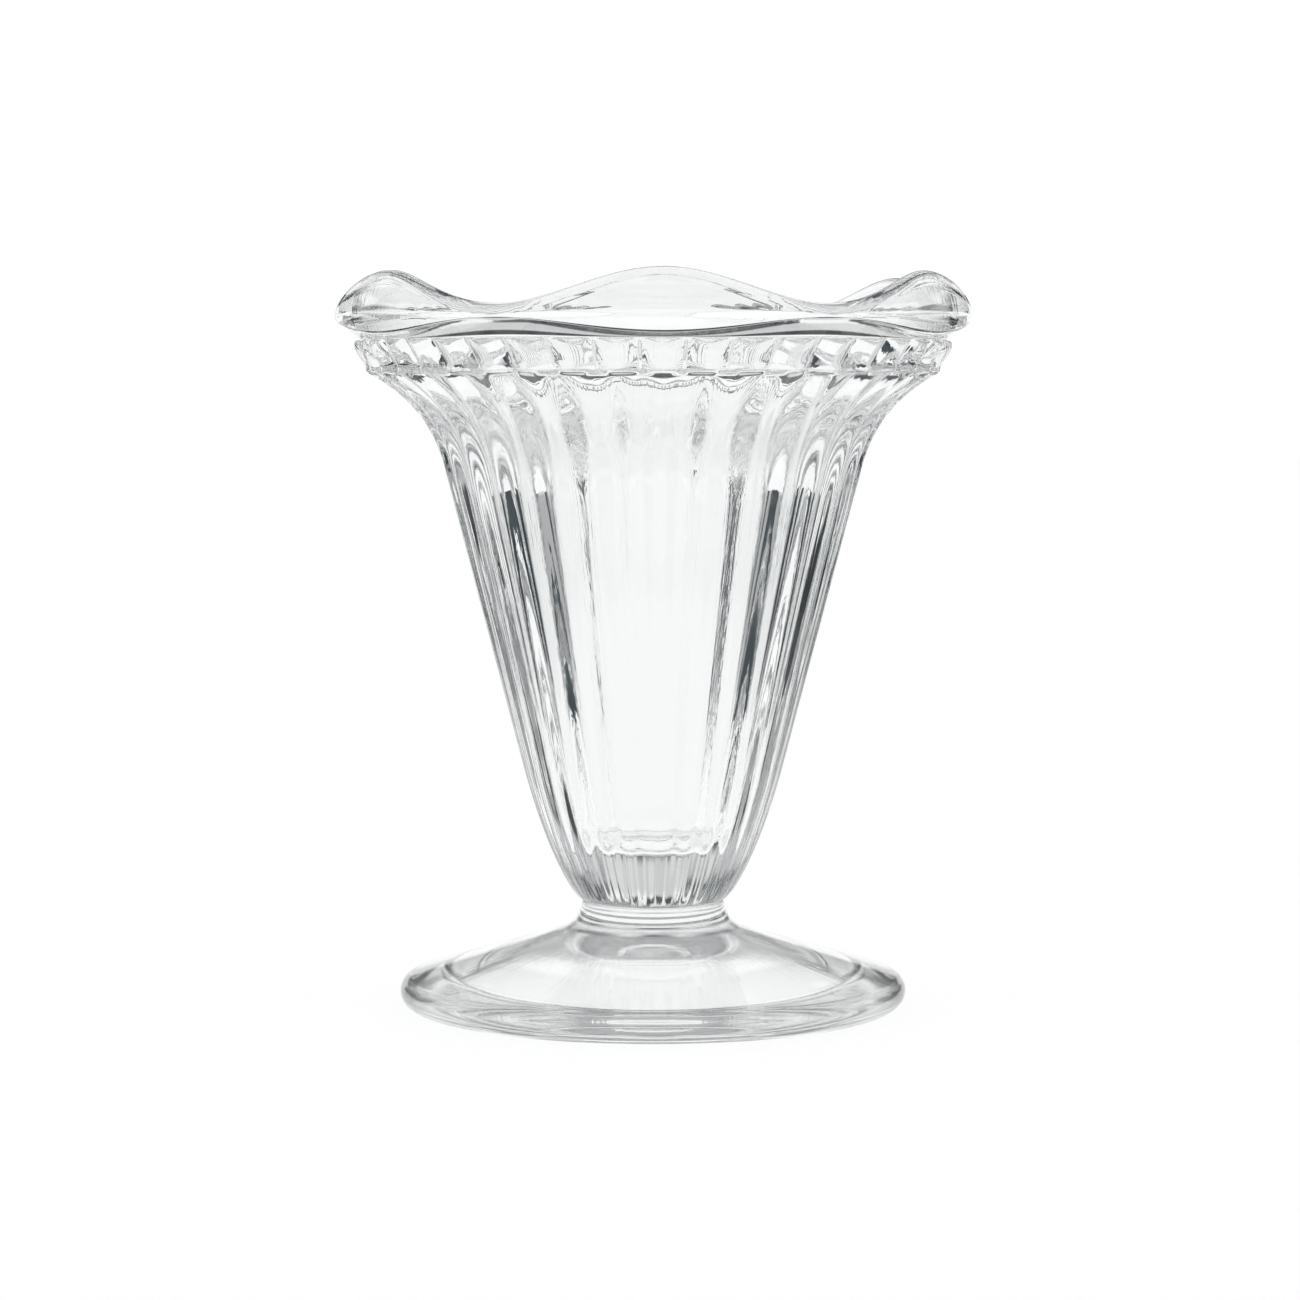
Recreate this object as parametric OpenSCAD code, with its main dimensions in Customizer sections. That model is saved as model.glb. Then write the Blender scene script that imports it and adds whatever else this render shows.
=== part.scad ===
// Parfait glass in clear pressed glass: a fluted bowl with a ribbed band and a scalloped lip,
// fused at its neck to a round pressed foot. Origin at the middle of the foot, on the table.

/* [Overall] */
// Height of the lip's peaks above the table
glass_h = 121; // [118:0.5:127]
// Widest diameter, across the lip
rim_d = 105; // [101:0.5:112]
// Diameter of the foot
foot_d = 84; // [78:0.5:96]

/* [Bowl] */
// Height of the seam between the bowl and the foot
neck_z = 17.6; // [16:0.1:19]
// Diameter of the neck at the seam
neck_d = 23.6; // [21:0.1:27]
// Height at which the rounded base of the bowl runs into the straight wall
waist_z = 40; // [38:0.5:46]
// Diameter of the bowl at that height
waist_d = 43.2; // [41:0.2:48]
// Height at which the straight wall starts to flare
shoulder_z = 89; // [84:0.5:92]
// Diameter of the bowl at that height
shoulder_d = 68.8; // [66:0.2:72]
// Thickness of the wall at the waist, measured level
wall_low = 9.5; // [7.5:0.1:10.4]
// Thickness of the wall where it starts to flare, measured level
wall_top = 9.8; // [8:0.1:11]
// Height of the cavity's floor
floor_z = 27.9; // [26:0.1:31]
// Diameter of the flat part of the cavity's floor
floor_d = 9; // [6:0.1:12]
// Height of the curve between the cavity's floor and its wall
floor_curve = 6.5; // [5.5:0.1:8.5]

/* [Flutes] */
// Number of flutes around the bowl
flute_n = 30; // [24:1:36]
// Depth of a flute where the wall starts to flare; it grows and shrinks with the square of the diameter
flute_depth = 1.05; // [0.3:0.05:1.2]
// Height over which the flutes fade out above the neck
flute_fade = 2; // [1:0.5:8]

/* [Ribbed band] */
// Height of the rim, from the bottom of the ribbed band to the lip's peaks
rim_h = 16.3; // [16:0.1:18]
// Diameter of the bowl at the bottom of the band
ring_d = 93.6; // [90:0.2:96]
// How far the ribs stand out there
band_step = 0.4; // [0.2:0.05:0.8]
// Mean height of the band, up to the lip's lower edge
band_h = 7.4; // [6.8:0.1:7.7]
// Number of ribs around the band
rib_n = 42; // [36:1:48]
// Height of the ribs
rib_h = 5.5; // [4.5:0.1:6]
// Depth of the grooves between the ribs
rib_depth = 2.4; // [0.8:0.05:2.6]
// Height of the ribs' domed tops
rib_dome = 3.6; // [1.5:0.1:4]

/* [Scalloped lip] */
// Number of scallops
lobe_n = 6; // [5:1:8]
// Height of a peak above the hollow beside it
lobe_rise = 5.5; // [3:0.1:5.8]
// How far the lip's lower edge dips under each peak
lobe_dip = 2.4; // [0.4:0.1:3]
// Thickness of the lip
lip_t = 3.6; // [3:0.1:4.2]
// Height of the lip's widest point above the mean height of its lower edge
lip_wide = 2; // [1:0.1:3]
// How far the lip leans in from its widest point to its peaks
lip_lean = 3; // [1:0.1:4.5]
// Height of the inner shoulder's edge above the bottom of the band
mouth_up = 1.3; // [0.8:0.1:3]
// Thickness of the wall at that edge, measured level
mouth_t = 4; // [3.2:0.1:5]
// Depth of the foot of the inner shoulder below the start of the flare
mouth_low = 4; // [1:0.1:8]

/* [Foot] */
// Radius of the foot's rounded edge
edge_r = 2.6; // [1.8:0.1:3.2]
// Rise of the foot's upper face, from the table to where it would meet the neck without a fillet
foot_rise = 13.5; // [12:0.1:14.2]
// Width of the flat ring that the glass stands on
stand_w = 7.4; // [5:0.1:10]
// Depth of the hollow under the foot
hollow_h = 8; // [4:0.1:9]

/* [Hidden] */
glass_colour = [0.86, 0.92, 0.92, 0.55];

// Facets: points per flute and per rib, points of a plain ring, and rings along a curve
flute_steps = 6;
rib_steps = 4;
plain_steps = 96;
curve_steps = 5;

// How far each curve leaves its end along the tangent, as [radius, height] or along a straight wall
base_pull = [2.2, 1.1];
waist_pull = 12;
flare_pull = 8;
ring_pull = [6, 3.4];
band_pull = 2.3;
lip_pull = [1.4, 5.3];
mouth_pull = [7, 6];
shoulder_share = 0.43;
bend_pull = 3.5;
// Height of the step under the ribs
rib_gap = 0.3;

neck_r = neck_d / 2;
foot_r = foot_d / 2;
rim_r = rim_d / 2;
ring_r = ring_d / 2;
waist_r = waist_d / 2;
shoulder_r = shoulder_d / 2;
ring_z = glass_h - rim_h;
rib_low_z = ring_z + rib_gap;
rib_top_z = ring_z + rib_h;
band_top = ring_z + band_h;
lip_wide_z = band_top + lip_wide;
wall_slope = (shoulder_r - waist_r) / (shoulder_z - waist_z);
cavity_slope = (shoulder_r - wall_top - waist_r + wall_low) / (shoulder_z - waist_z);

// Cubic curve through p[0] and p[3] at t from 0 to 1
function cubic(p, t) =
    pow(1 - t, 3) * p[0] + 3 * t * pow(1 - t, 2) * p[1] + 3 * t * t * (1 - t) * p[2] + pow(t, 3) * p[3];

function along(p, steps) = [for (k = [0:steps]) cubic(p, k / steps)];

// Point at radius r and height z, with angle 0 at the front, on -Y
function at(r, a, z) = [r * sin(a), -r * cos(a), z];

// Waves from 0 on the crests to 1 in the hollows, with a crest at angle 0: a soft one for flutes and
// scallops, and one with round crests and sharp grooves for ribs
function wave(n, a) = (1 - cos(n * a)) / 2;
function rib_wave(a) = 1 - abs(cos(rib_n * a / 2));

// Outline of the bowl's outside as [radius, height]: rounded base, straight wall, flare
base_curve = along([
    [neck_r, neck_z],
    [neck_r, neck_z] + base_pull,
    [waist_r - wall_slope * waist_pull, waist_z - waist_pull],
    [waist_r, waist_z]
], curve_steps);
flare_curve = along([
    [shoulder_r, shoulder_z],
    [shoulder_r + wall_slope * flare_pull, shoulder_z + flare_pull],
    [ring_r, ring_z] - ring_pull,
    [ring_r, ring_z]
], curve_steps);
outline = concat(base_curve, flare_curve);

// Height of the lip's edge and of its lower edge at angle a
function lip_top(a) = glass_h - lobe_rise * wave(lobe_n, a);
function band_edge(a) = band_top + lobe_dip * (wave(lobe_n, a) - 0.5);

// Radius over the ribs and the lip at height z: out from the ring to the widest point, then in to the peaks
band_curve = along([
    [ring_r + band_step, rib_low_z],
    [ring_r + band_step, rib_low_z + band_pull],
    [rim_r, lip_wide_z] - lip_pull,
    [rim_r, lip_wide_z]
], 4 * curve_steps);
band_table = [for (p = band_curve) [p[1], p[0]]];
function lip_r(z) = lookup(z, band_table)
    - lip_lean * pow(max(0, (z - lip_wide_z) / (glass_h - lip_wide_z)), 2);

// Outline of the cavity, from its mouth down: shoulder, straight wall, curve into the floor
function cavity_r(z) = waist_r - wall_low + cavity_slope * (z - waist_z);
mouth_z = ring_z + mouth_up;
mouth_r = lip_r(mouth_z) - mouth_t;
cavity_top_z = shoulder_z - mouth_low;
cavity_low_z = floor_z + floor_curve;
shoulder_end_z = cavity_top_z + shoulder_share * (mouth_z - cavity_top_z);
mouth_curve = along([
    [mouth_r, mouth_z],
    [mouth_r, mouth_z] - mouth_pull,
    [cavity_r(shoulder_end_z), shoulder_end_z],
    [cavity_r(cavity_top_z), cavity_top_z]
], curve_steps);
floor_bend = along([
    [cavity_r(cavity_low_z), cavity_low_z],
    [cavity_r(cavity_low_z - bend_pull), cavity_low_z - bend_pull],
    [floor_d / 2 + bend_pull, floor_z],
    [floor_d / 2, floor_z]
], curve_steps);
cavity = concat(mouth_curve, floor_bend);

// Rings of points, each with its own count; the flutes narrow with the bowl
function fluted_ring(p) = let(
        fade = min(1, max(0, (p[1] - neck_z) / flute_fade)),
        depth = flute_depth * fade * pow(p[0] / shoulder_r, 2),
        count = flute_n * flute_steps)
    [for (i = [0:count - 1]) let(a = 360 * i / count)
        at(p[0] - depth * wave(flute_n, a), a, p[1])];

// Ring of ribs at height z; the crests sink into the grooves' depth over the domed tops
function ribbed_ring(z) = let(
        up = max(0, (z - rib_top_z + rib_dome) / rib_dome),
        crest = sqrt(1 - up * up),
        count = rib_n * rib_steps)
    [for (i = [0:count - 1]) let(a = 360 * i / count)
        at(lip_r(z) - rib_depth * (1 - (1 - rib_wave(a)) * crest), a, z)];

// Ring of the cove at share v of the height from the ribs' tops to the lip's lower edge
function cove_ring(v) = [for (i = [0:plain_steps - 1]) let(
        a = 360 * i / plain_steps,
        z = rib_top_z + v * (band_edge(a) - rib_top_z))
    at(lip_r(z) - rib_depth * cos(90 * v), a, z)];

// Ring of the lip's outside at share v of the height from its lower edge to the start of its rounding
function lip_ring(v) = [for (i = [0:plain_steps - 1]) let(
        a = 360 * i / plain_steps,
        low = band_edge(a),
        z = low + v * (lip_top(a) - lip_t / 2 - low))
    at(lip_r(z), a, z)];

// Ring of the lip's rounded edge at angle b, from 0 on the outside to 180 on the inside
function edge_ring(b) = [for (i = [0:plain_steps - 1]) let(
        a = 360 * i / plain_steps,
        low = lip_top(a) - lip_t / 2)
    at(lip_r(low) - lip_t / 2 * (1 - cos(b)), a, low + lip_t / 2 * sin(b))];

// Ring of the lip's inside at share v of the height from its rounded edge down to the shoulder
function inner_ring(v) = [for (i = [0:plain_steps - 1]) let(
        a = 360 * i / plain_steps,
        low = lip_top(a) - lip_t / 2,
        z = low + v * (mouth_z - low))
    at(lip_r(z) - lip_t - v * (mouth_t - lip_t), a, z)];

function plain_ring(p) = [for (i = [0:plain_steps - 1]) at(p[0], 360 * i / plain_steps, p[1])];

// Share of the lip's height at which its widest point lies under a peak
wide_share = (lip_wide_z - band_edge(0)) / (lip_top(0) - lip_t / 2 - band_edge(0));
dome_z = rib_top_z - rib_dome;
bowl_rings = concat(
    [for (p = outline) fluted_ring(p)],
    [ribbed_ring(rib_low_z)],
    [for (b = [0:30:75]) ribbed_ring(dome_z + rib_dome * sin(b))],
    [for (v = [0:1 / 3:0.9]) cove_ring(v)],
    [for (v = [0, wide_share, (1 + wide_share) / 2]) lip_ring(v)],
    [for (b = [0:45:180]) edge_ring(b)],
    [for (v = [0.2:0.2:0.9]) inner_ring(v)],
    [for (p = cavity) plain_ring(p)]
);

// Faces between a ring of n points and the next one, of m points
function stitch(first, n, next, m) = concat(
    [for (i = [0:n - 1]) let(k = floor((i + 0.5) * m / n + 0.5))
        [first + (i + 1) % n, first + i, next + k % m]],
    [for (j = [0:m - 1]) let(k = ceil((j + 0.5) * n / m - 0.5))
        [next + j, next + (j + 1) % m, first + k % n]]);

// Number of points in the rings before ring number s
function points_before(rings, s) = s == 0 ? 0 : len(rings[s - 1]) + points_before(rings, s - 1);

// Closed solid through a stack of rings, with a flat face on the first and on the last
module ring_solid(rings) {
    starts = [for (s = [0:len(rings)]) points_before(rings, s)];
    last = len(rings) - 1;
    sides = [for (s = [0:last - 1])
        each stitch(starts[s], len(rings[s]), starts[s + 1], len(rings[s + 1]))];
    bottom = [for (i = [0:len(rings[0]) - 1]) i];
    top = [for (i = [len(rings[last]) - 1:-1:0]) starts[last] + i];
    polyhedron([for (r = rings) each r], concat(sides, [bottom, top]));
}

// Bowl: pressed in one piece, from the seam at the neck up to the scalloped lip
module bowl() {
    color(glass_colour) ring_solid(bowl_rings);
}

// Foot: conical upper face with a fillet up to the neck, rounded edge, flat ring and hollow below
edge_x = foot_r - edge_r;
foot_slope = atan((foot_rise - 2 * edge_r) / (edge_x - neck_r));
edge_top = [edge_x + edge_r * sin(foot_slope), edge_r + edge_r * cos(foot_slope)];
cone_at_axis = edge_top[1] + edge_top[0] * tan(foot_slope);
fillet_r = (neck_z + neck_r * tan(foot_slope) - cone_at_axis) / (1 / cos(foot_slope) - tan(foot_slope));
fillet_c = [neck_r + fillet_r, neck_z];
fillet_end = fillet_c - fillet_r * [sin(foot_slope), cos(foot_slope)];
hollow_x = edge_x - stand_w;
hollow_r = (hollow_x * hollow_x + hollow_h * hollow_h) / (2 * hollow_h);

module foot_outline() {
    difference() {
        union() {
            polygon([[0, 0], [edge_x, 0], [edge_x, edge_r], edge_top, fillet_end, fillet_c, [0, neck_z]]);
            translate([edge_x, edge_r]) circle(edge_r, $fn = 48);
        }
        translate(fillet_c) circle(fillet_r, $fn = 64);
        translate([0, hollow_h - hollow_r]) circle(hollow_r, $fn = 180);
    }
}

module foot() {
    color(glass_colour) rotate_extrude($fn = 192) intersection() {
        foot_outline();
        translate([0, -1]) square([foot_r + 1, neck_z + 2]);
    }
}

bowl();
foot();
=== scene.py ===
"""Looks of a footed parfait glass in clear pressed glass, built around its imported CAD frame."""
import math

import bpy
import numpy as np
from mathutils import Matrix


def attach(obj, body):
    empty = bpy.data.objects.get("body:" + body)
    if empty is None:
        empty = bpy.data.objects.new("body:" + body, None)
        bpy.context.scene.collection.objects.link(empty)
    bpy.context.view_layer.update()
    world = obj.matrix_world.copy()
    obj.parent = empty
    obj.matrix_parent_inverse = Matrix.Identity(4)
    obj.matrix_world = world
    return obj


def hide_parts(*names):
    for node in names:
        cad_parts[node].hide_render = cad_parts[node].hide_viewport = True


MM = 0.001

# Sizes in millimetres, as in the part's source, except that the rim stays 0.1 mm inside the solid's
GLASS_H = 121.0
RIM_R = 52.4
FOOT_R = 42.0
NECK_Z, NECK_R = 17.6, 11.8
WAIST_Z, WAIST_R = 40.0, 21.6
SHOULDER_Z, SHOULDER_R = 89.0, 34.4
WALL_LOW, WALL_TOP = 9.5, 9.8
FLOOR_Z, FLOOR_R, FLOOR_CURVE = 27.9, 4.5, 6.5
FLUTES, FLUTE_DEPTH, FLUTE_FADE = 30, 1.05, 2.0
RING_Z, RING_R = 104.7, 46.8
BAND_H, BAND_STEP = 7.4, 0.4
RIBS, RIB_H, RIB_DEPTH, RIB_DOME, RIB_GAP = 42, 5.5, 2.4, 3.6, 0.3
LOBES, LOBE_RISE, LOBE_DIP = 6, 5.5, 2.4
LIP_T, LIP_LEAN, LIP_WIDE = 3.6, 3.0, 2.0
MOUTH_UP, MOUTH_T, MOUTH_LOW = 1.3, 4.0, 4.0
EDGE_R, FOOT_RISE, STAND_W, HOLLOW_H = 2.6, 13.5, 7.4, 8.0

# How far the cubic curves' handles lie from their ends, in millimetres
BASE_PULL = (2.2, 1.1)
WAIST_PULL = 12
FLARE_PULL = 8
RING_PULL = (6, 3.4)
BAND_PULL = 2.3
LIP_PULL = (1.4, 5.3)
MOUTH_PULL = (7, 6)
BEND_PULL = 3.5
# Share of the mouth's height up to which the handle at its lower end reaches
SHOULDER_SHARE = 0.43

WALL_SLOPE = (SHOULDER_R - WAIST_R) / (SHOULDER_Z - WAIST_Z)
CAVITY_SLOPE = (SHOULDER_R - WALL_TOP - WAIST_R + WALL_LOW) / (SHOULDER_Z - WAIST_Z)
BAND_TOP = RING_Z + BAND_H
RIB_LOW_Z, RIB_TOP_Z = RING_Z + RIB_GAP, RING_Z + RIB_H
LIP_WIDE_Z = BAND_TOP + LIP_WIDE
MOUTH_Z = RING_Z + MOUTH_UP
CAVITY_TOP_Z = SHOULDER_Z - MOUTH_LOW

# Points around the glass, a whole number for each flute, rib and scallop, and rings along each stretch
AROUND = 840
CURVE_STEPS = 24
WALL_STEPS = 12
BAND_STEPS = 60
RIB_STEPS = 30
LIP_STEPS = 14
ROUND_STEPS = 16
CONE_STEPS = 16
STAND_STEPS = 4
EDGE_STEPS = 24

# Glass, and the striations in it: noise scale, noise detail and depth in metres
GLASS_TINT = (0.99, 0.997, 0.997, 1)
GLASS_IOR = 1.52
STRIATION_SCALE, STRIATION_DETAIL, STRIATION_DEPTH = 55, 2, 0.000012
# Place of the seam's material in a piece's list, after the glass
SEAM_PLACE = 1
# Bounces of light in the glass and off the floor
GLASS_BOUNCES, FLOOR_BOUNCES = 32, 8

# Studio as the glass sees it: grey levels by elevation in degrees
WHITE = 1.03
UNLIT = 0.03
CEILING = 0.5
BACKDROP = [(-90, WHITE), (7, WHITE), (9, UNLIT), (16.5, UNLIT), (18.5, 0.7), (27, 0.7), (30, 0.95),
            (42, 0.95), (60, CEILING), (90, CEILING)]
BACK_FLAG = [(-90, WHITE), (7, WHITE), (9, UNLIT), (16.5, UNLIT), (18.5, 0.6), (29, 0.6), (31, UNLIT),
             (52, UNLIT), (60, CEILING), (90, CEILING)]
STRIP_LIGHT = [(-90, WHITE), (0.5, WHITE), (2, UNLIT), (7, UNLIT), (9, WHITE), (30, WHITE), (32, UNLIT),
               (52, UNLIT), (60, CEILING), (90, CEILING)]
DARK_ROOM = [(-90, WHITE), (0.5, WHITE), (2, UNLIT), (16.5, UNLIT), (18.5, 0.5), (28, 0.5), (30, UNLIT),
             (52, UNLIT), (60, CEILING), (90, CEILING)]
# Share of the backdrop, of the flag before it and of the strip lights, by degrees from straight behind
BACKDROP_SIDE = [(0, 1.0), (20, 1.0), (24, 0.0), (180, 0.0)]
FLAG_SIDE = [(0, 1.0), (7, 1.0), (8, 0.0), (180, 0.0)]
STRIP_SIDE = [(0, 0.0), (38, 0.0), (41, 1.0), (57, 1.0), (60, 0.0), (180, 0.0)]
# Shares of red and green that the dim levels lose, and the power with which that fades towards white
TEAL_RED, TEAL_GREEN, TEAL_POWER = 0.3, 0.05, 3
# Colour of a card at level 0, the darkest painted reflection that the cards put in the glass
CARD_DARK = (0.02, 0.035, 0.042)
# Cards on the floor, outside the camera's frame, that paint dark and grey reflections into the glass: name,
# radii in metres, grey level at each radius, and start and end in degrees from straight behind
FRONT_CARD = ("front", (0.25, 0.6, 3.0), (0.8, 0.4, 0.3), 140, 220)
SIDE_CARDS = [("flank", (0.23, 0.5, 3.5), (0, 0, 0.1), 40, 56),
              ("side", (0.155, 0.5, 3.5), (0, 0, 0.1), 56, 80),
              ("fore", (0.145, 0.18, 0.36, 0.6), (0.8, 0.4, 0.4, 0.9), 80, 140)]
CARD_Z = 0.0003
CARD_STEP_DEGREES, CARD_LEAST_STEPS = 4, 8
# Floor of the studio: half its side and its height in metres, and its surface
GROUND_HALF, GROUND_Z = 4.0, -0.0002
GROUND_COLOUR = (0.97, 0.97, 0.97, 1)
GROUND_ROUGHNESS = 0.9

# Camera, in pixels of the photograph's frame, in metres and in degrees
FRAME_PX, FOCAL_PX = 1300, 3800
AXIS_PX, HORIZON_PX = 653, 373.5
CAMERA_DISTANCE, CAMERA_H, CAMERA_TURN = 0.628, 0.1047, 1.8
SENSOR_MM = 36

ANGLES = np.arange(AROUND) * 2 * math.pi / AROUND


def wave(count):
    """0 on the crests and 1 in the hollows, with a crest at the front."""
    return (1 - np.cos(count * ANGLES)) / 2


FLUTE_WAVE = wave(FLUTES)
LOBE_WAVE = wave(LOBES)
# Ribs are round on their crests and meet in sharp grooves
RIB_WAVE = 1 - np.abs(np.cos(RIBS * ANGLES / 2))
LIP_TOP = GLASS_H - LOBE_RISE * LOBE_WAVE
BAND_EDGE = BAND_TOP + LOBE_DIP * (LOBE_WAVE - 0.5)


def cubic(p, steps, start=0):
    """Points on a cubic curve from p[0] to p[3], with handles p[1] and p[2]."""
    p = np.array(p, float)
    t = np.arange(start, steps + 1)[:, None] / steps
    return (1 - t) ** 3 * p[0] + 3 * t * (1 - t) ** 2 * p[1] + 3 * t * t * (1 - t) * p[2] + t ** 3 * p[3]


def line(a, b, steps):
    """Points on a straight line from a to b, without a."""
    t = np.arange(1, steps + 1)[:, None] / steps
    return np.array(a, float) * (1 - t) + np.array(b, float) * t


BAND_PROFILE = cubic([(RING_R + BAND_STEP, RIB_LOW_Z),
                      (RING_R + BAND_STEP, RIB_LOW_Z + BAND_PULL),
                      (RIM_R - LIP_PULL[0], LIP_WIDE_Z - LIP_PULL[1]),
                      (RIM_R, LIP_WIDE_Z)], BAND_STEPS)


def lip_radius(z):
    """Outside of band and lip, before the ribs are cut into it."""
    above = np.clip((z - LIP_WIDE_Z) / (GLASS_H - LIP_WIDE_Z), 0, None)
    return np.interp(z, BAND_PROFILE[:, 1], BAND_PROFILE[:, 0]) - LIP_LEAN * above ** 2


def cavity_radius(z):
    """Radius of the straight inner wall."""
    return WAIST_R - WALL_LOW + CAVITY_SLOPE * (z - WAIST_Z)


def ring(r, z):
    """One ring of points from radius and height, in metres, counted from the front at -Y."""
    r = np.broadcast_to(np.asarray(r, float), (AROUND,))
    z = np.broadcast_to(np.asarray(z, float), (AROUND,))
    return np.stack([r * np.sin(ANGLES), -r * np.cos(ANGLES), z], axis=1) * MM


def fluted_rings():
    """Outside of the bowl from the neck to the ribbed band; the flutes narrow with the bowl."""
    base = cubic([(NECK_R, NECK_Z),
                  (NECK_R + BASE_PULL[0], NECK_Z + BASE_PULL[1]),
                  (WAIST_R - WALL_SLOPE * WAIST_PULL, WAIST_Z - WAIST_PULL),
                  (WAIST_R, WAIST_Z)], CURVE_STEPS)
    wall = line((WAIST_R, WAIST_Z), (SHOULDER_R, SHOULDER_Z), WALL_STEPS)
    flare = cubic([(SHOULDER_R, SHOULDER_Z),
                   (SHOULDER_R + WALL_SLOPE * FLARE_PULL, SHOULDER_Z + FLARE_PULL),
                   (RING_R - RING_PULL[0], RING_Z - RING_PULL[1]),
                   (RING_R, RING_Z)], CURVE_STEPS, 1)
    rings = []
    for r, z in np.concatenate([base, wall, flare]):
        fade = min(1.0, (z - NECK_Z) / FLUTE_FADE)
        rings.append(ring(r - FLUTE_DEPTH * (r / SHOULDER_R) ** 2 * fade * FLUTE_WAVE, z))
    return rings


def band_rings():
    """Ribs with domed tops, and above them a cove up to the lip's wavy lower edge."""
    rings = []
    for v in np.linspace(0, 1, RIB_STEPS, endpoint=False):
        z = RIB_LOW_Z + v * (RIB_TOP_Z - RIB_LOW_Z)
        up = max(0.0, (z - RIB_TOP_Z + RIB_DOME) / RIB_DOME)
        crest = math.sqrt(1 - up * up)
        rings.append(ring(lip_radius(z) - RIB_DEPTH * (1 - (1 - RIB_WAVE) * crest), z))
    for v in np.linspace(0, 1, LIP_STEPS, endpoint=False):
        z = RIB_TOP_Z + v * (BAND_EDGE - RIB_TOP_Z)
        rings.append(ring(lip_radius(z) - RIB_DEPTH * math.cos(v * math.pi / 2), z))
    return rings


def lip_rings():
    """Scalloped lip: outside, rounded edge and inside, down to the mouth of the cavity."""
    rings = []
    low = LIP_TOP - LIP_T / 2
    for v in np.linspace(0, 1, LIP_STEPS, endpoint=False):
        z = BAND_EDGE + v * (low - BAND_EDGE)
        rings.append(ring(lip_radius(z), z))
    for b in np.linspace(0, math.pi, ROUND_STEPS + 1):
        rings.append(ring(lip_radius(low) - LIP_T / 2 * (1 - math.cos(b)), low + LIP_T / 2 * math.sin(b)))
    for v in np.linspace(0, 1, LIP_STEPS, endpoint=False)[1:]:
        z = low + v * (MOUTH_Z - low)
        rings.append(ring(lip_radius(z) - LIP_T - v * (MOUTH_T - LIP_T), z))
    return rings


def cavity_rings():
    """Inside of the bowl: mouth that narrows below the lip, straight wall, curve into the floor."""
    low_z = FLOOR_Z + FLOOR_CURVE
    bend_z = low_z - BEND_PULL
    mouth_r = float(lip_radius(MOUTH_Z)) - MOUTH_T
    shoulder_z = CAVITY_TOP_Z + SHOULDER_SHARE * (MOUTH_Z - CAVITY_TOP_Z)
    mouth = cubic([(mouth_r, MOUTH_Z),
                   (mouth_r - MOUTH_PULL[0], MOUTH_Z - MOUTH_PULL[1]),
                   (cavity_radius(shoulder_z), shoulder_z),
                   (cavity_radius(CAVITY_TOP_Z), CAVITY_TOP_Z)], CURVE_STEPS)
    inside = line((cavity_radius(CAVITY_TOP_Z), CAVITY_TOP_Z), (cavity_radius(low_z), low_z), WALL_STEPS)
    bend = cubic([(cavity_radius(low_z), low_z),
                  (cavity_radius(bend_z), bend_z),
                  (FLOOR_R + BEND_PULL, FLOOR_Z),
                  (FLOOR_R, FLOOR_Z)], ROUND_STEPS, 1)
    return [ring(r, z) for r, z in np.concatenate([mouth, inside, bend])]


def bowl_rings():
    """Bowl from the seam up the outside, over the lip and down the inside."""
    return fluted_rings() + band_rings() + lip_rings() + cavity_rings()


def foot_rings():
    """Foot from the top of its hollow out over the standing ring and the edge, and up to the seam."""
    edge_x = FOOT_R - EDGE_R
    slope = math.atan((FOOT_RISE - 2 * EDGE_R) / (edge_x - NECK_R))
    edge_top = (edge_x + EDGE_R * math.sin(slope), EDGE_R + EDGE_R * math.cos(slope))
    at_axis = edge_top[1] + edge_top[0] * math.tan(slope)
    fillet_r = (NECK_Z + NECK_R * math.tan(slope) - at_axis) / (1 / math.cos(slope) - math.tan(slope))
    centre = (NECK_R + fillet_r, NECK_Z)
    hollow_x = edge_x - STAND_W
    hollow_r = (hollow_x ** 2 + HOLLOW_H ** 2) / (2 * HOLLOW_H)
    points = []
    for b in np.linspace(math.asin(hollow_x / hollow_r), 0, CURVE_STEPS, endpoint=False)[::-1]:
        points.append((hollow_r * math.sin(b), HOLLOW_H - hollow_r + hollow_r * math.cos(b)))
    points += [tuple(p) for p in line((hollow_x, 0), (edge_x, 0), STAND_STEPS)]
    for b in np.linspace(-math.pi / 2, math.pi / 2 - slope, EDGE_STEPS + 1)[1:]:
        points.append((edge_x + EDGE_R * math.cos(b), EDGE_R + EDGE_R * math.sin(b)))
    cone_end = (centre[0] - fillet_r * math.sin(slope), centre[1] - fillet_r * math.cos(slope))
    points += [tuple(p) for p in line(edge_top, cone_end, CONE_STEPS)]
    for b in np.linspace(math.pi * 1.5 - slope, math.pi, ROUND_STEPS + 1)[1:]:
        points.append((centre[0] + fillet_r * math.cos(b), centre[1] + fillet_r * math.sin(b)))
    return [ring(r, z) for r, z in points]


def solid(name, rings, seam_first):
    """Closed mesh through a stack of rings, with a flat seam face at the neck and a cap at the other end."""
    count = len(rings)
    verts = np.concatenate(rings)
    faces = []
    for s in range(count - 1):
        a = s * AROUND + np.arange(AROUND)
        b = s * AROUND + np.roll(np.arange(AROUND), -1)
        faces.extend(np.stack([a, b, b + AROUND, a + AROUND], axis=1).tolist())
    first = list(range(AROUND))[::-1]
    last = [(count - 1) * AROUND + i for i in range(AROUND)]
    mesh = bpy.data.meshes.new(name)
    mesh.from_pydata(verts.tolist(), [], faces + [first, last])
    mesh.polygons.foreach_set("use_smooth", [True] * len(mesh.polygons))
    seam = len(faces) if seam_first else len(faces) + 1
    mesh.polygons[seam].material_index = SEAM_PLACE
    mesh.update()
    piece = bpy.data.objects.new(name, mesh)
    bpy.context.scene.collection.objects.link(piece)
    return piece


def new_material(name):
    """Material with nodes, and its node tree's nodes and links."""
    mat = bpy.data.materials.new(name)
    mat.use_nodes = True
    return mat, mat.node_tree.nodes, mat.node_tree.links


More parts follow.
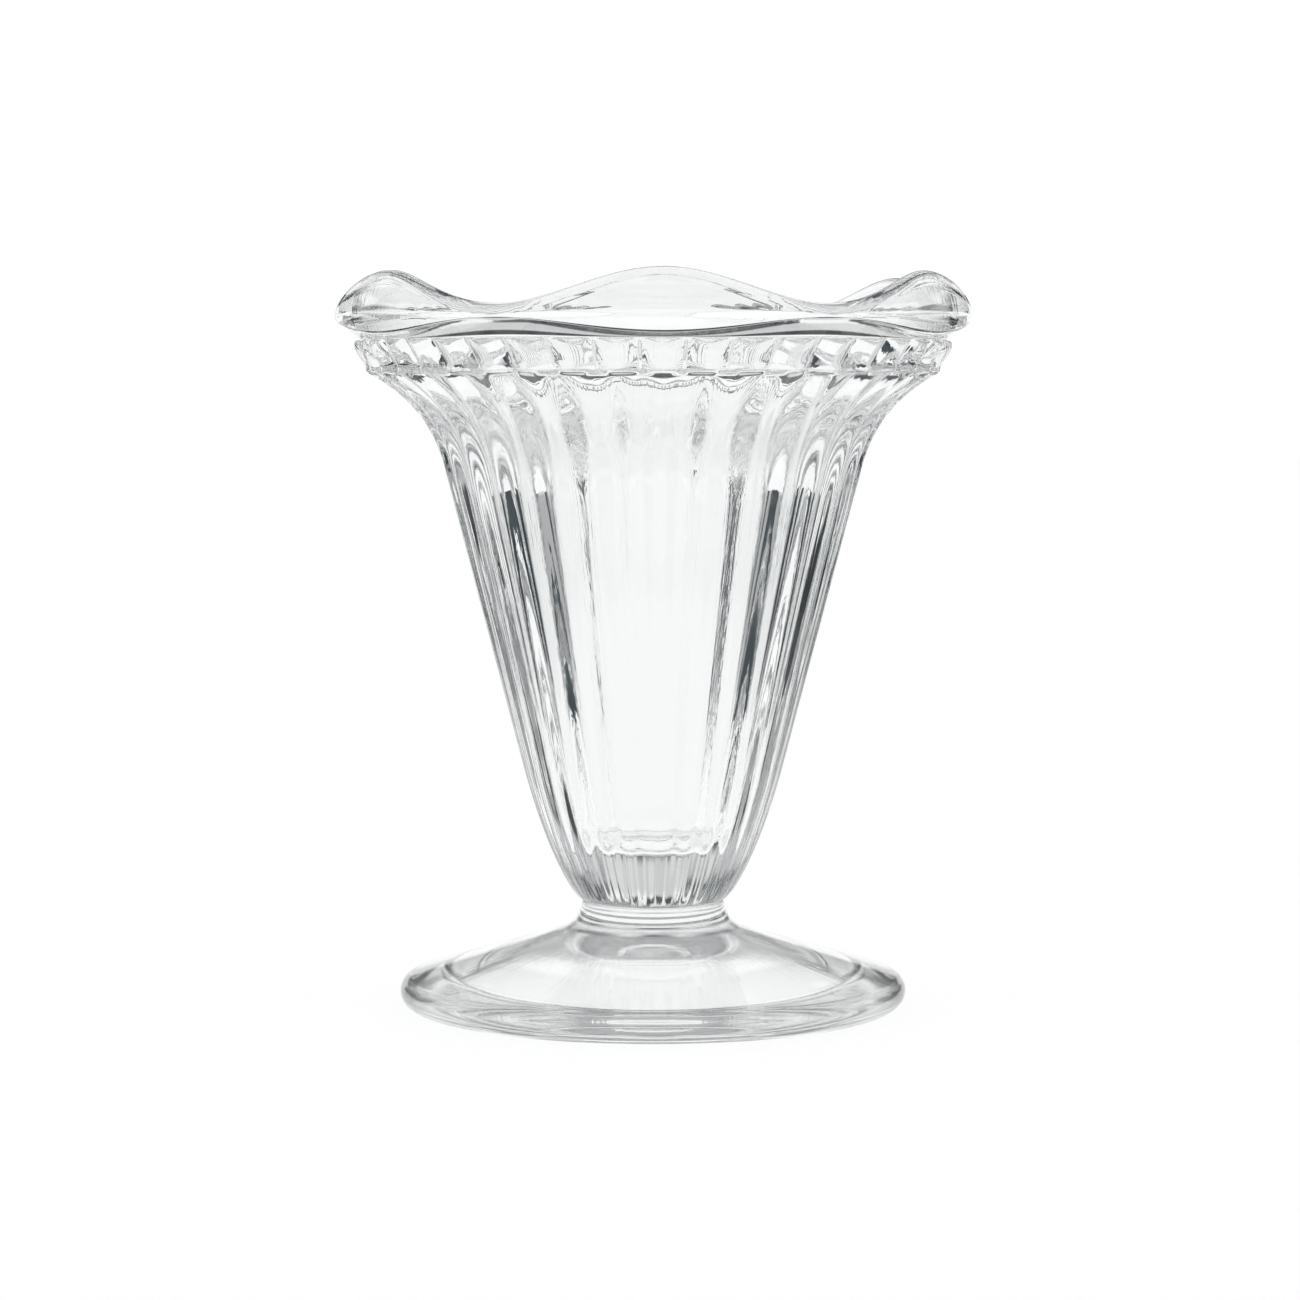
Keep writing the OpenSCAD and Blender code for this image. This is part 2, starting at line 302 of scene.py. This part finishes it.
def glass_material():
    """Clear glass with the fine upright striations that a press mould leaves."""
    mat, nodes, links = new_material("clear_glass")
    shader = nodes["Principled BSDF"]
    shader.inputs["Base Color"].default_value = GLASS_TINT
    shader.inputs["Roughness"].default_value = 0.0
    shader.inputs["IOR"].default_value = GLASS_IOR
    shader.inputs["Transmission Weight"].default_value = 1.0
    # The noise goes round on a unit circle and climbs by the height in metres, so it draws upright lines
    coord = nodes.new("ShaderNodeTexCoord")
    split = nodes.new("ShaderNodeSeparateXYZ")
    links.new(coord.outputs["Object"], split.inputs[0])
    level = nodes.new("ShaderNodeCombineXYZ")
    links.new(split.outputs["X"], level.inputs["X"])
    links.new(split.outputs["Y"], level.inputs["Y"])
    around = nodes.new("ShaderNodeVectorMath")
    around.operation = "NORMALIZE"
    links.new(level.outputs[0], around.inputs[0])
    height = nodes.new("ShaderNodeCombineXYZ")
    links.new(split.outputs["Z"], height.inputs["Z"])
    place = nodes.new("ShaderNodeVectorMath")
    place.operation = "ADD"
    links.new(around.outputs[0], place.inputs[0])
    links.new(height.outputs[0], place.inputs[1])
    noise = nodes.new("ShaderNodeTexNoise")
    noise.inputs["Scale"].default_value = STRIATION_SCALE
    noise.inputs["Detail"].default_value = STRIATION_DETAIL
    links.new(place.outputs[0], noise.inputs["Vector"])
    bump = nodes.new("ShaderNodeBump")
    bump.inputs["Strength"].default_value = 1.0
    bump.inputs["Distance"].default_value = STRIATION_DEPTH
    links.new(noise.outputs["Fac"], bump.inputs["Height"])
    links.new(bump.outputs[0], shader.inputs["Normal"])
    return mat


def seam_material():
    """Nothing to see where bowl and foot are fused."""
    mat, nodes, _ = new_material("fused_seam")
    nodes["Principled BSDF"].inputs["Alpha"].default_value = 0.0
    return mat


def math_node(nodes, links, operation, first, second):
    """Math node whose inputs are sockets or numbers."""
    node = nodes.new("ShaderNodeMath")
    node.operation = operation
    for socket, value in zip(node.inputs, (first, second)):
        if isinstance(value, (int, float)):
            socket.default_value = value
        else:
            links.new(value, socket)
    return node.outputs[0]


def mix_node(nodes, links, factor, first, second):
    """Colour mix whose inputs are sockets or colours."""
    node = nodes.new("ShaderNodeMix")
    node.data_type = "RGBA"
    links.new(factor, node.inputs["Factor"])
    for socket, value in ((node.inputs[6], first), (node.inputs[7], second)):
        if isinstance(value, tuple):
            socket.default_value = value
        else:
            links.new(value, socket)
    return node.outputs[2]


def grey_ramp(nodes, links, angle, lowest, highest, stops):
    """Grey level by an angle in degrees, with a touch of teal in the dim part."""
    ramp = nodes.new("ShaderNodeValToRGB")
    from_lowest = math_node(nodes, links, "SUBTRACT", angle, lowest)
    links.new(math_node(nodes, links, "DIVIDE", from_lowest, highest - lowest), ramp.inputs[0])
    elements = ramp.color_ramp.elements
    while len(elements) > 1:
        elements.remove(elements[-1])
    for k, (degrees, level) in enumerate(stops):
        place = (degrees - lowest) / (highest - lowest)
        stop = elements[0] if k == 0 else elements.new(place)
        stop.position = place
        teal = (1 - level) ** TEAL_POWER
        stop.color = (level * (1 - TEAL_RED * teal), level * (1 - TEAL_GREEN * teal), level, 1)
    return ramp.outputs["Color"]


def after_floor(nodes, links, path):
    """1 for a ray that the floor has scattered, else 0."""
    return math_node(nodes, links, "GREATER_THAN", path.outputs["Diffuse Depth"], 0.5)


def make_world():
    """White for the camera and the floor; the glass sees dark bands above the backdrop and all round."""
    world = bpy.data.worlds.new("studio")
    bpy.context.scene.world = world
    world.use_nodes = True
    nodes = world.node_tree.nodes
    links = world.node_tree.links
    path = nodes.new("ShaderNodeLightPath")
    coord = nodes.new("ShaderNodeTexCoord")
    split = nodes.new("ShaderNodeSeparateXYZ")
    links.new(coord.outputs["Generated"], split.inputs[0])
    x, y, z = split.outputs
    height = math_node(nodes, links, "DEGREES", math_node(nodes, links, "ARCSINE", z, 0), 0)
    turn = math_node(nodes, links, "DEGREES", math_node(nodes, links, "ARCTAN2", x, y), 0)
    aside = math_node(nodes, links, "ABSOLUTE", turn, 0)
    sky = grey_ramp(nodes, links, height, -90, 90, DARK_ROOM)
    for levels, sides in ((STRIP_LIGHT, STRIP_SIDE), (BACKDROP, BACKDROP_SIDE), (BACK_FLAG, FLAG_SIDE)):
        share = grey_ramp(nodes, links, aside, 0, 180, sides)
        sky = mix_node(nodes, links, share, sky, grey_ramp(nodes, links, height, -90, 90, levels))
    through = path.outputs["Is Transmission Ray"]
    glassy = math_node(nodes, links, "MAXIMUM", through, path.outputs["Is Glossy Ray"])
    direct = math_node(nodes, links, "SUBTRACT", glassy, after_floor(nodes, links, path))
    colour = mix_node(nodes, links, direct, (WHITE, WHITE, WHITE, 1), sky)
    links.new(colour, nodes["Background"].inputs["Color"])


def reflection_card_material(name):
    """Glowing grey levels of a card from its mesh, a painted reflection for the glass; light that the floor
    scatters finds it white.
    """
    mat, nodes, links = new_material(name)
    nodes.remove(nodes["Principled BSDF"])
    level = nodes.new("ShaderNodeVertexColor")
    level.layer_name = "level"
    path = nodes.new("ShaderNodeLightPath")
    bounced = after_floor(nodes, links, path)
    # Painted reflection: for rays off and through the glass, the card glows at its own grey level
    colour = mix_node(nodes, links, bounced, level.outputs["Color"], (WHITE, WHITE, WHITE, 1))
    glow = nodes.new("ShaderNodeEmission")
    links.new(colour, glow.inputs["Color"])
    links.new(glow.outputs[0], nodes["Material Output"].inputs["Surface"])
    return mat


def make_reflection_card(name, radii, levels, start, end):
    """Card on the floor, from angle start to end around the glass, which only the glass shows, as a painted
    dark or grey reflection.
    """
    steps = max(CARD_LEAST_STEPS, round(abs(end - start) / CARD_STEP_DEGREES))
    verts = []
    colours = []
    for k in range(steps + 1):
        a = math.radians(start + (end - start) * k / steps)
        for r, level in zip(radii, levels):
            verts.append((r * math.sin(a), r * math.cos(a), CARD_Z))
            colours.append(tuple(c + (1 - c) * level for c in CARD_DARK) + (1,))
    wide = len(radii)
    faces = []
    for k in range(steps):
        for j in range(wide - 1):
            corner = wide * k + j
            faces.append((corner, corner + 1, corner + wide + 1, corner + wide))
    mesh = bpy.data.meshes.new(name)
    mesh.from_pydata(verts, [], faces)
    layer = mesh.color_attributes.new("level", "FLOAT_COLOR", "POINT")
    for k, colour in enumerate(colours):
        layer.data[k].color = colour
    mesh.materials.append(reflection_card_material(name))
    card = bpy.data.objects.new(name, mesh)
    bpy.context.scene.collection.objects.link(card)
    # Painted reflection: only rays off and through the glass find the card
    card.visible_camera = False
    card.visible_diffuse = False
    card.visible_shadow = False


def make_reflection_cards():
    """Dark and grey cards in front of the glass and at both sides: painted reflections that only the glass
    shows.
    """
    make_reflection_card(*FRONT_CARD)
    for side_name, side in (("left", -1), ("right", 1)):
        for name, radii, levels, start, end in SIDE_CARDS:
            make_reflection_card(name + "_" + side_name, radii, levels, side * start, side * end)


def make_floor():
    """Pale matt floor, a hair below the glass."""
    mesh = bpy.data.meshes.new("floor")
    corners = [(-1, -1), (1, -1), (1, 1), (-1, 1)]
    mesh.from_pydata([(x * GROUND_HALF, y * GROUND_HALF, GROUND_Z) for x, y in corners], [], [(0, 1, 2, 3)])
    floor = bpy.data.objects.new("floor", mesh)
    bpy.context.scene.collection.objects.link(floor)
    mat, nodes, _ = new_material("pale_floor")
    shader = nodes["Principled BSDF"]
    shader.inputs["Base Color"].default_value = GROUND_COLOUR
    shader.inputs["Roughness"].default_value = GROUND_ROUGHNESS
    shader.inputs["Specular IOR Level"].default_value = 0.0
    mesh.materials.append(mat)


def make_camera():
    """Camera at the photograph's place, a little to the left of the glass's front."""
    data = bpy.data.cameras.new("camera")
    data.sensor_width = SENSOR_MM
    data.lens = SENSOR_MM * FOCAL_PX / FRAME_PX
    camera = bpy.data.objects.new("camera", data)
    bpy.context.scene.collection.objects.link(camera)
    tilt = math.atan((FRAME_PX / 2 - HORIZON_PX) / FOCAL_PX)
    turn = math.radians(CAMERA_TURN)
    aside = -(AXIS_PX - FRAME_PX / 2) * CAMERA_DISTANCE / FOCAL_PX
    x = aside * math.cos(turn) - CAMERA_DISTANCE * math.sin(turn)
    y = -aside * math.sin(turn) - CAMERA_DISTANCE * math.cos(turn)
    camera.location = (x, y, CAMERA_H)
    camera.rotation_euler = (math.pi / 2 - tilt, 0, -turn)
    bpy.context.scene.camera = camera


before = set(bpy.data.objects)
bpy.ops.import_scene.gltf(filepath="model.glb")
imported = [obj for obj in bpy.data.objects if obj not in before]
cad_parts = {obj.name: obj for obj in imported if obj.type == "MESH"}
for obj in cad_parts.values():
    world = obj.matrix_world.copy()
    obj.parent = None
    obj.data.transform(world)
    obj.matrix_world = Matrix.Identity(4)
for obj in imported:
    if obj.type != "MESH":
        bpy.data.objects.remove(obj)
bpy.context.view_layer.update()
bpy.context.scene.view_settings.view_transform = "Standard"
# Light passes many faces of the thick glass before it leaves
cycles = bpy.context.scene.cycles
cycles.max_bounces = GLASS_BOUNCES
cycles.transmission_bounces = GLASS_BOUNCES
cycles.glossy_bounces = GLASS_BOUNCES
cycles.diffuse_bounces = FLOOR_BOUNCES
cycles.blur_glossy = 0.0

glass = glass_material()
seam = seam_material()
for node, rings, seam_first in (("bowl", bowl_rings(), True), ("foot", foot_rings(), False)):
    piece = solid(node + "_glass", rings, seam_first)
    piece.data.materials.append(glass)
    piece.data.materials.append(seam)
    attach(piece, "root")
    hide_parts(node)

make_world()
make_floor()
make_reflection_cards()
make_camera()
